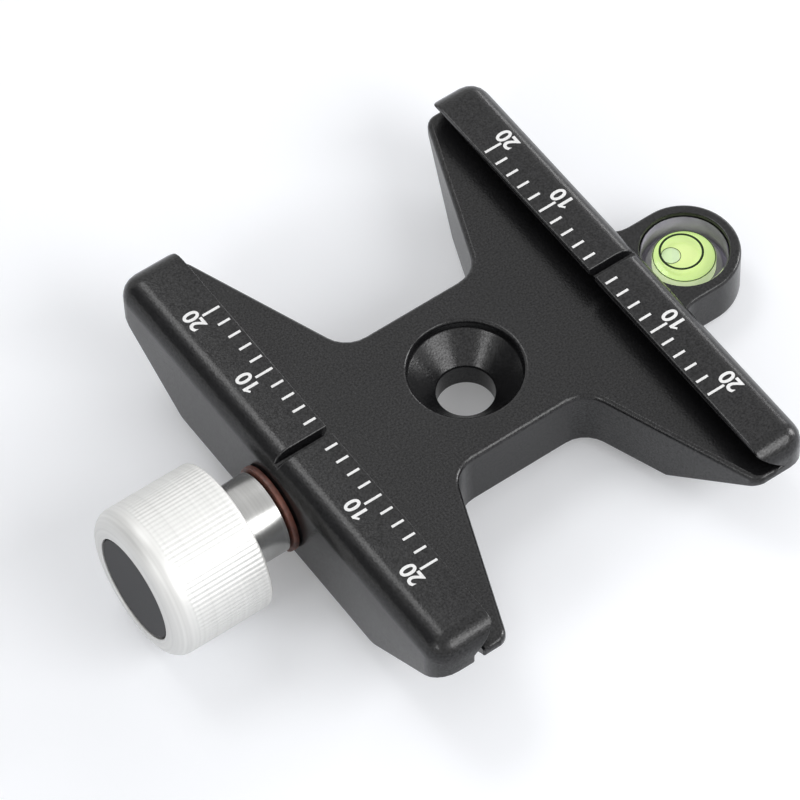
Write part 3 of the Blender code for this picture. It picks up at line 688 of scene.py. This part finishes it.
def clamp_material(name):
    """A finish by its short name; they are all made the first time one is asked for."""
    made = bpy.context.scene.get("clamp_materials")
    if not made:
        finish = bpy.context.scene.clamp_finish
        groups = {"grain": make_grain_group(), "lathe": make_lathe_group()}
        made = {
            "anodised": make_anodised(finish, groups).name,
            "silver": make_silver(finish, groups, "silver_satin", 1, 0.45, 0.55, 0.5).name,
            # The neck is the knob's silver darkened to 0.6 as painted shade, and polished with a lower
            # roughness.
            "neck": make_silver(finish, groups, "silver_polished_painted_shade", 0.6, 0.2, 0.28, 1).name,
            "cap": make_cap(finish, groups).name,
            "washer": make_washer(finish, groups).name,
            "steel": make_steel(groups).name,
            "print": make_print(finish, groups).name,
            "clear": make_clear(groups).name,
            "frosted": make_frosted(groups).name,
            "liquid": make_liquid(finish, groups).name,
            # The bubble and the liquid's side emit their pale green, which is painted light.
            "bubble": make_pale(groups, "level_bubble_painted_glow", (0.72, 0.95, 0.5), 0.06, 0.15).name,
            "side": make_pale(groups, "level_side_painted_glow", (0.78, 0.97, 0.52), 0.3, 0.5).name,
            "line": make_level_line(groups).name,
            "plug": make_plug(groups).name,
        }
        bpy.context.scene["clamp_materials"] = made
    return bpy.data.materials[made[name]]


# Operators


class CLAMP_OT_milled_metal(Operator):
    """Build the black base and the moving jaw with broken edges"""

    bl_idname = "clamp.milled_metal"
    bl_label = "Milled Metal"

    def execute(self, context):
        edge = context.scene.clamp_finish.edge_width
        for node, piece_name, body in (
            ("base_body", "base_milled", "base"),
            ("moving_jaw", "jaw_milled", "jaw"),
        ):
            bm = crisp_copy(node, edge)
            piece = new_piece(piece_name, bm, [clamp_material("anodised")], body)
            weigh_normals(piece)
            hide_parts(node)
        return {"FINISHED"}


class CLAMP_OT_scale(Operator):
    """Mark the millimetre scale and its numbers on both jaws"""

    bl_idname = "clamp.scale"
    bl_label = "Scale"

    def execute(self, context):
        scale = context.scene.clamp_scale
        for body, lip_x, numbers_x in (
            ("base", FIXED_LIP_X, FIXED_NUMBERS_X),
            ("jaw", MOVING_LIP_X, MOVING_NUMBERS_X),
        ):
            self.mark(scale, body, lip_x)
            self.number(scale, body, numbers_x)
        return {"FINISHED"}

    def mark(self, scale, body, lip_x):
        bm = bmesh.new()
        side = math.copysign(1, lip_x)
        start = abs(lip_x) + scale.inset
        for step in range(1, scale.marks_a_side + 1):
            length = scale.short_length if step % 5 else scale.long_length
            for direction in (1, -1):
                size = Matrix.Diagonal((length, scale.mark_width, PRINT_THICKNESS, 1))
                place = Matrix.Translation(
                    (side * (start + length / 2), direction * step * scale.spacing, PRINT_Z)
                )
                bmesh.ops.create_cube(bm, size=1, matrix=place @ size)
        new_piece(f"scale_marks_{body}", bm, [clamp_material("print")], body)

    def number(self, scale, body, across):
        for text in ("10", "20"):
            for end, direction in (("rear", 1), ("front", -1)):
                name = f"number_{body}_{text}_{end}"
                curve = bpy.data.curves.new(name, "FONT")
                curve.body = text
                curve.size = scale.number_size
                curve.align_x = "CENTER"
                curve.align_y = "CENTER"
                curve.extrude = PRINT_THICKNESS / 2
                curve.offset = 0.06 * MM
                writing = bpy.data.objects.new(name, curve)
                bpy.context.scene.collection.objects.link(writing)
                graph = bpy.context.evaluated_depsgraph_get()
                mesh = bpy.data.meshes.new_from_object(writing.evaluated_get(graph))
                bpy.data.objects.remove(writing)
                bm = bmesh.new()
                bm.from_mesh(mesh)
                bpy.data.meshes.remove(mesh)
                bmesh.ops.remove_doubles(bm, verts=bm.verts, dist=0.0005 * MM)
                bmesh.ops.recalc_face_normals(bm, faces=bm.faces)
                if text[0] == "1":
                    self.flag_of_one(bm)
                along = direction * int(text) * MM
                place = Matrix.Translation((across, along, PRINT_Z))
                bmesh.ops.transform(
                    bm, matrix=place @ Matrix.Rotation(math.pi / 2, 4, "Z"), verts=bm.verts
                )
                new_piece(name, bm, [clamp_material("print")], body)

    def flag_of_one(self, bm):
        """The slanting stroke at the head of a numeral one, the leftmost glyph."""
        left = min(vert.co.x for vert in bm.verts)
        top = max(vert.co.y for vert in bm.verts)
        size = Matrix.Diagonal((0.75 * MM, 0.26 * MM, PRINT_THICKNESS * 0.9, 1))
        place = Matrix.Translation((left - 0.1 * MM, top - 0.33 * MM, 0))
        turn = Matrix.Rotation(math.radians(38), 4, "Z")
        bmesh.ops.create_cube(bm, size=1, matrix=place @ turn @ size)


class CLAMP_OT_knob(Operator):
    """Turn and knurl the knob, and finish its cap and washer"""

    bl_idname = "clamp.knob"
    bl_label = "Knob"

    def execute(self, context):
        knob = context.scene.clamp_knob
        self.grip(knob)
        for node, piece_name, finish, slot, edge in (
            ("knob_cap", "knob_cap_disc", "cap", "cap_black", 0.04 * MM),
            ("friction_washer", "washer_ring", "washer", "washer_brown", 0.08 * MM),
        ):
            bm = crisp_copy(node, edge)
            piece = new_piece(piece_name, bm, [clamp_material(finish)], "knob_and_screw")
            weigh_normals(piece)
            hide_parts(node)
        return {"FINISHED"}

    def grip(self, knob):
        face = -knob_low.x
        neck_end = -knob_high.x
        rear = face - knob.grip_length
        round_centre = (knob_radius - knob.front_round, face - knob.front_round)
        knurl_start = face - knob.front_round - knob.plain_band
        knurl_end = rear + 0.5 * MM
        recess = knob_radius - knob.front_round - knob.face_rim
        neck = 4.75 * MM
        lip = 0.12 * MM
        bore = 2.6 * MM
        socket = 4.35 * MM
        socket_floor = face - 6.55 * MM
        cap_seat = face - 1.15 * MM
        profile = [
            (recess, face - lip),
            (recess + lip, face),
            *corner(round_centre, knob.front_round, 90, 0, 10),
            (knob_radius, knurl_start),
            (knob_radius, knurl_start - 0.12 * MM),
            (knob_radius, knurl_start - 0.3 * MM),
            (knob_radius, (knurl_start + knurl_end) / 2),
            (knob_radius, knurl_end),
            *corner((knob_radius - 0.5 * MM, knurl_end), 0.5 * MM, -15, -90, 5),
            *corner((neck + 0.6 * MM, rear - 0.6 * MM), 0.6 * MM, 90, 180, 5),
            (neck, neck_end + 0.15 * MM),
            (neck - 0.15 * MM, neck_end),
            (bore, neck_end),
            (bore, socket_floor),
            (socket, socket_floor),
            (socket, cap_seat),
            (recess, cap_seat),
        ]
        shares_of_depth = (0.0, 0.0, 0.55, 1.0, 0.55)
        per_ridge = len(shares_of_depth)
        steps = per_ridge * knob.ridges
        bm = spun(profile, steps, closed=True)
        for vert in bm.verts:
            reach = math.hypot(vert.co.x, vert.co.y)
            line = round(math.atan2(vert.co.y, vert.co.x) / (2 * math.pi) * steps)
            cut = shares_of_depth[line % per_ridge] * knob.groove_depth
            inside = knurl_end - 0.2 * MM < vert.co.z < knurl_start - 0.05 * MM
            if not inside or reach < knob_radius - 0.2 * MM:
                continue
            if vert.co.z > knurl_start - 0.2 * MM:
                cut *= 0.45
            vert.co.xy *= (reach - cut) / reach
        onto_screw_axis(bm)
        piece = new_piece(
            "knob_knurled",
            bm,
            [clamp_material("silver"), clamp_material("neck")],
            "knob_and_screw",
            math.radians(40),
        )
        # Faces behind the grip's rear, the neck, take the darker silver, which is painted shade.
        for face in piece.data.polygons:
            face.material_index = int(-face.center.x < rear - 0.02 * MM)
        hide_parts("knob")


class CLAMP_OT_drive(Operator):
    """Cut the screw's thread and build its ring, the guide pins and the springs"""

    bl_idname = "clamp.drive"
    bl_label = "Screw, Pins and Springs"

    def execute(self, context):
        for node in ("screw_retaining_ring", "guide_pin_front", "guide_pin_rear"):
            body = "knob_and_screw" if node.startswith("screw") else "jaw"
            piece = new_piece(
                f"{node}_finished",
                crisp_copy(node, 0.05 * MM),
                [clamp_material("steel")],
                body,
            )
            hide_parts(node)
        self.screw()
        for label, side in (("front", -1), ("rear", 1)):
            self.spring(label, side)
        return {"FINISHED"}

    def screw(self):
        bm = crisp_copy("clamp_screw", 0)
        thread = self.thread(-screw_high.x + 0.5 * MM, -jaw_high.x + 3.2 * MM)
        thread_mesh = bpy.data.meshes.new("thread")
        thread.to_mesh(thread_mesh)
        thread.free()
        bm.from_mesh(thread_mesh)
        bpy.data.meshes.remove(thread_mesh)
        piece = new_piece(
            "clamp_screw_threaded", bm, [clamp_material("steel")], "knob_and_screw"
        )
        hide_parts("clamp_screw")

    def thread(self, start, end):
        """A helical ridge wound round the shank by spinning its section along the screw."""
        pitch = 0.8 * MM
        root = 2.45 * MM
        crest = 2.62 * MM
        bm = bmesh.new()
        section = [
            bm.verts.new((root, 0, start)),
            bm.verts.new((crest, 0, start + 0.14 * MM)),
            bm.verts.new((crest, 0, start + 0.26 * MM)),
            bm.verts.new((root, 0, start + 0.4 * MM)),
        ]
        edges = [bm.edges.new(pair) for pair in zip(section, section[1:] + section[:1])]
        turns = int((end - start) / pitch)
        steps_a_turn = 24
        bmesh.ops.contextual_create(bm, geom=edges)
        wind(bm, turns, steps_a_turn * turns, pitch / steps_a_turn)
        return bm

    def spring(self, label, side):
        """A coil from the base's pocket to the jaw's inner wall."""
        wire = 0.2 * MM
        reach = 2.1 * MM
        turns = 5
        start = -spring_high.x + wire
        end = -spring_low.x - wire
        bm = bmesh.new()
        bmesh.ops.create_circle(
            bm,
            cap_ends=True,
            radius=wire,
            segments=10,
            matrix=Matrix.Translation((reach, 0, start)) @ Matrix.Rotation(math.pi / 2, 4, "X"),
        )
        steps = 32 * turns
        wind(bm, turns, steps, (end - start) / steps)
        bmesh.ops.translate(bm, verts=bm.verts, vec=(0, side * abs(spring_y), 0))
        piece = new_piece(
            f"jaw_spring_{label}_coil", bm, [clamp_material("steel")], None
        )
        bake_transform(piece)
        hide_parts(f"jaw_spring_{label}")


class CLAMP_OT_level(Operator):
    """Build the round spirit level with its vial, liquid, bubble and circle"""

    bl_idname = "clamp.level"
    bl_label = "Spirit Level"

    def execute(self, context):
        at_vial = Matrix.Translation((vial_x, 0, 0))

        def turned(name, profile, steps, finish, closed=False):
            bm = spun(profile, steps, closed)
            bmesh.ops.transform(bm, matrix=at_vial, verts=bm.verts)
            return new_piece(name, bm, [clamp_material(finish)], "base")

        top = vial_high.z
        base = vial_low.z
        radius = (vial_high.x - vial_low.x) / 2
        chamber = 3.5 * MM
        plug_seat = chamber + 0.7 * MM
        floor = liquid_low.z
        ceiling = liquid_high.z + 0.02 * MM
        edge = 0.12 * MM
        vial = turned(
            "vial_moulded",
            [
                (0, top),
                (radius - edge, top),
                (radius, top - edge),
                (radius, base),
                (plug_seat, base),
                (plug_seat, floor),
                (chamber, floor),
                (chamber, ceiling - 0.3 * MM),
                (chamber * 0.7, ceiling - 0.14 * MM),
                (chamber * 0.35, ceiling - 0.03 * MM),
                (0, ceiling),
            ],
            96,
            "clear",
        )
        vial.data.materials.append(clamp_material("frosted"))
        for face in vial.data.polygons:
            reach = math.hypot(face.center.x - vial_x, face.center.y)
            outside = reach > radius - 0.05 * MM and face.center.z < top - edge
            below = reach > chamber + 0.1 * MM and face.center.z < floor + 0.1 * MM
            face.material_index = int(outside or below)
        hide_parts("level_vial")
        liquid_top = ceiling - 0.05 * MM
        liquid = turned(
            "liquid_green",
            [
                (0, liquid_top),
                (chamber * 0.35, liquid_top - 0.03 * MM),
                (chamber * 0.7, liquid_top - 0.14 * MM),
                (chamber + 0.01 * MM, liquid_top - 0.3 * MM),
                (chamber + 0.01 * MM, floor + 0.02 * MM),
                (0, floor + 0.02 * MM),
            ],
            96,
            "liquid",
        )
        # The liquid's upright faces take the side material, whose emission is painted light on faces
        # in shade.
        liquid.data.materials.append(clamp_material("side"))
        for face in liquid.data.polygons:
            face.material_index = int(abs(face.normal.z) < 0.5)
        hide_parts("level_liquid")
        plug = new_piece(
            "level_plug_finished",
            crisp_copy("level_plug", 0.05 * MM),
            [clamp_material("plug")],
            "base",
        )
        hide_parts("level_plug")
        self.circle("level_circle", (-0.27 * MM, 0.2 * MM), 2.35 * MM, 0.13 * MM, top + 0.005 * MM)
        # A dark ring at the chamber's wall, painted shade where the wall bends the light.
        edge_z = ceiling - 0.29 * MM
        self.circle("chamber_edge_painted_shade", (0, 0), chamber - 0.08 * MM, 0.05 * MM, edge_z)
        # A dark ring round the bubble, painted shade of its curved edge.
        bubble_at = (-1.2 * MM, 0.8 * MM)
        self.circle("bubble_rim_painted_shade", bubble_at, 1.07 * MM, 0.035 * MM, liquid_top + 0.005 * MM)
        self.bubble(bubble_at, liquid_top)
        return {"FINISHED"}

    def circle(self, name, centre, radius, half_width, height):
        thickness = 0.01 * MM
        section = [
            (radius - half_width, height),
            (radius - half_width, height + thickness),
            (radius + half_width, height + thickness),
            (radius + half_width, height),
        ]
        bm = spun(section, 72, closed=True)
        place = Matrix.Translation((vial_x + centre[0], centre[1], 0))
        bmesh.ops.transform(bm, matrix=place, verts=bm.verts)
        new_piece(name, bm, [clamp_material("line")], "base")

    def bubble(self, centre, height):
        bm = bmesh.new()
        bmesh.ops.create_uvsphere(
            bm,
            u_segments=48,
            v_segments=16,
            radius=1.04 * MM,
            matrix=Matrix.Translation((vial_x + centre[0], centre[1], height - 0.03 * MM))
            @ Matrix.Diagonal((1, 1, 0.04, 1)),
        )
        new_piece("level_bubble", bm, [clamp_material("bubble")], "base")


class CLAMP_OT_studio(Operator):
    """Set up the floor, the lights, the world and the camera"""

    bl_idname = "clamp.studio"
    bl_label = "Studio"

    def execute(self, context):
        studio = context.scene.clamp_studio
        self.floor(studio)
        self.lights(studio)
        self.card()
        self.world()
        self.camera(context.scene)
        context.scene.view_settings.view_transform = "Standard"
        return {"FINISHED"}

    def floor(self, studio):
        """A floor that touches the knob and the lower edge of the base, as the clamp lies."""
        touch_x = knob_low.x + bpy.context.scene.clamp_knob.grip_length - 0.5 * MM
        lean = math.atan2(-knob_low.z, underside_end_x - touch_x)
        touch = Vector((touch_x, 0, knob_low.z - 0.02 * MM))
        place = Matrix.Translation(touch) @ Matrix.Rotation(-lean, 4, "Y")
        material, tree, shader = new_material("floor_pale", studio.floor_color, 0.9)
        grain = add_node(tree, "ShaderNodeTexNoise", (-700, 0))
        grain.inputs["Scale"].default_value = 6.0
        coords = add_node(tree, "ShaderNodeTexCoord", (-900, 0))
        tree.links.new(coords.outputs["Object"], grain.inputs["Vector"])
        color = tint(
            tree,
            grain.outputs["Fac"],
            shade(studio.floor_color, 0.99),
            shade(studio.floor_color, 1.01),
            (-500, 100),
        )
        tree.links.new(color, shader.inputs["Base Color"])
        glow = math_node(tree, "MULTIPLY", self.background_rays(tree), 0.2, (-50, -400))
        shader.inputs["Emission Color"].default_value = (1, 1, 1, 1)
        tree.links.new(glow, shader.inputs["Emission Strength"])
        self.sheet("studio_floor", 1.5, place, material)

    def lights(self, studio):
        target = Vector((0, 0, 5 * MM))
        for name, place, width, height, power in (
            ("key_light", (-0.04, 0.34, 0.62), 0.28, 0.28, studio.key_power),
            ("front_light", (0.25, -0.56, 0.48), 0.62, 0.4, studio.front_power),
            ("knob_light", (-0.6, -0.16, 0.4), 0.19, 0.19, studio.knob_power),
            ("rim_light", (0.7, -0.17, 0.28), 0.3, 0.3, studio.rim_power),
            ("edge_light", (0.65, 0.37, 0.2), 0.2, 0.12, studio.edge_power),
        ):
            light = bpy.data.lights.new(name, "AREA")
            light.shape = "ELLIPSE"
            light.size = width
            light.size_y = height
            light.energy = power
            lamp = bpy.data.objects.new(name, light)
            lamp.location = place
            aim = target - Vector(place)
            lamp.rotation_euler = aim.to_track_quat("-Z", "Y").to_euler()
            bpy.context.scene.collection.objects.link(lamp)

    def card(self):
        """A grey card beyond the clamp, which its rounded edges and the knob's neck mirror."""
        centre = (-0.42, 0.28, 0.26)
        turn = (-Vector(centre)).to_track_quat("Z", "Y").to_matrix().to_4x4()
        grey = new_material("flag_grey", (0.3, 0.3, 0.3), 0.9)[0]
        card = self.sheet("studio_flag", 0.2, Matrix.Translation(centre) @ turn, grey)
        card.visible_camera = False

    def sheet(self, name, half_width, place, material):
        """A flat square of the studio."""
        bm = bmesh.new()
        bmesh.ops.create_grid(bm, x_segments=1, y_segments=1, size=half_width, matrix=place)
        mesh = bpy.data.meshes.new(name)
        bm.to_mesh(mesh)
        bm.free()
        mesh.materials.append(material)
        piece = bpy.data.objects.new(name, mesh)
        bpy.context.scene.collection.objects.link(piece)
        return piece

    def background_rays(self, tree):
        """1 for rays that show the background as it looks: the camera's, in glass and in mirrors."""
        path = add_node(tree, "ShaderNodeLightPath", (-600, -250))
        direct = math_node(
            tree,
            "MAXIMUM",
            path.outputs["Is Camera Ray"],
            path.outputs["Is Transmission Ray"],
            (-400, -250),
        )
        return math_node(tree, "MAXIMUM", direct, path.outputs["Is Glossy Ray"], (-250, -250))

    def world(self):
        world = bpy.data.worlds.new("studio_world")
        world.use_nodes = True
        bpy.context.scene.world = world
        tree = world.node_tree
        background = tree.nodes["Background"]
        background.inputs["Color"].default_value = (1, 1, 1, 1)
        strength = add_node(tree, "ShaderNodeMapRange", (-50, 0))
        tree.links.new(self.background_rays(tree), strength.inputs["Value"])
        strength.inputs["To Min"].default_value = 0.46
        strength.inputs["To Max"].default_value = 1.0
        tree.links.new(strength.outputs["Result"], background.inputs["Strength"])

    def camera(self, scene):
        data = bpy.data.cameras.new("photo_camera")
        data.sensor_width = 36.0
        data.lens = 237.22
        data.clip_start = 0.01
        data.clip_end = 10.0
        camera = bpy.data.objects.new("photo_camera", data)
        camera.location = (-0.18568426, -0.26774399, 0.46624717)
        camera.rotation_euler = (
            math.radians(35.11591),
            math.radians(1.28953),
            math.radians(-35.3301),
        )
        scene.collection.objects.link(camera)
        scene.camera = camera


class CLAMP_PT_looks(Panel):
    """Shows the clamp's build steps and its settings in the sidebar"""

    bl_idname = "CLAMP_PT_looks"
    bl_label = "Dovetail Clamp"
    bl_space_type = "VIEW_3D"
    bl_region_type = "UI"
    bl_category = "Clamp"

    def draw(self, context):
        layout = self.layout
        for operator in OPERATORS:
            layout.operator(operator.bl_idname)
        for settings in ("clamp_finish", "clamp_scale", "clamp_knob", "clamp_studio"):
            box = layout.box()
            group = getattr(context.scene, settings)
            for name in group.bl_rna.properties.keys():
                if name not in ("rna_type", "name"):
                    box.prop(group, name)


OPERATORS = (
    CLAMP_OT_milled_metal,
    CLAMP_OT_scale,
    CLAMP_OT_knob,
    CLAMP_OT_drive,
    CLAMP_OT_level,
    CLAMP_OT_studio,
)
SETTINGS = {
    "clamp_finish": ClampFinish,
    "clamp_scale": ClampScale,
    "clamp_knob": ClampKnob,
    "clamp_studio": ClampStudio,
}


def register():
    for name, settings in SETTINGS.items():
        bpy.utils.register_class(settings)
        setattr(bpy.types.Scene, name, PointerProperty(type=settings))
    for operator in OPERATORS:
        bpy.utils.register_class(operator)
    bpy.utils.register_class(CLAMP_PT_looks)


def unregister():
    bpy.utils.unregister_class(CLAMP_PT_looks)
    for operator in reversed(OPERATORS):
        bpy.utils.unregister_class(operator)
    for name, settings in reversed(SETTINGS.items()):
        delattr(bpy.types.Scene, name)
        bpy.utils.unregister_class(settings)


def main():
    for obj in list(bpy.data.objects):
        if obj.name in ("Cube", "Light", "Camera"):
            bpy.data.objects.remove(obj)
    register()
    bpy.ops.clamp.milled_metal()
    bpy.ops.clamp.scale()
    bpy.ops.clamp.knob()
    bpy.ops.clamp.drive()
    bpy.ops.clamp.level()
    bpy.ops.clamp.studio()


if __name__ == "__main__":
    main()
